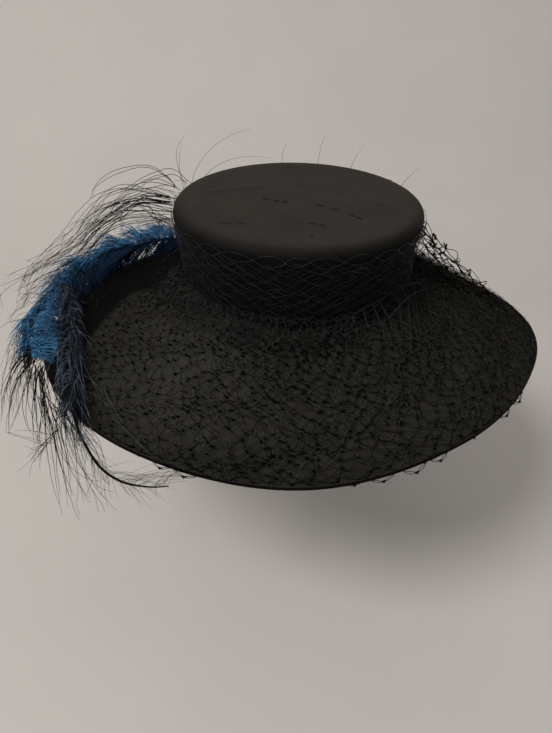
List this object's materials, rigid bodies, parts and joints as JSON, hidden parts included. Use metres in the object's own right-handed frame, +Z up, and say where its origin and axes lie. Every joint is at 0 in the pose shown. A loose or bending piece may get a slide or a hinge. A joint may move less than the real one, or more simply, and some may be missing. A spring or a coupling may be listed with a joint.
{
  "type": "wide-brim hat",
  "caption": "Wide drooping-brim hat with a low flat oval crown, a layered net veil, a blue plume, a dark plume that hangs off the rim and a spray of arching black wisps.",
  "frame": {"origin": "centre of the oval head opening, level with the brim's top where it meets the crown", "axes": "+Z up the crown's axis, the hat's front looks along -Y and its feathered side is -X"},
  "size_m": [0.4974, 0.4172, 0.2571],
  "materials": {
    "silk": "black silk, soft sheen",
    "net": "black silk net",
    "blue_feather": "dyed blue feather",
    "dark_feather": "blue-black feather",
    "black_feather": "black feather wisps"
  },
  "bodies": {
    "root": {"crown": "silk", "brim": "silk", "veil_crown": "net", "veil_brim": "net", "blue_plume": "blue_feather", "dark_plume": "dark_feather", "black_spray": "black_feather"}
  },
  "joints": []
}
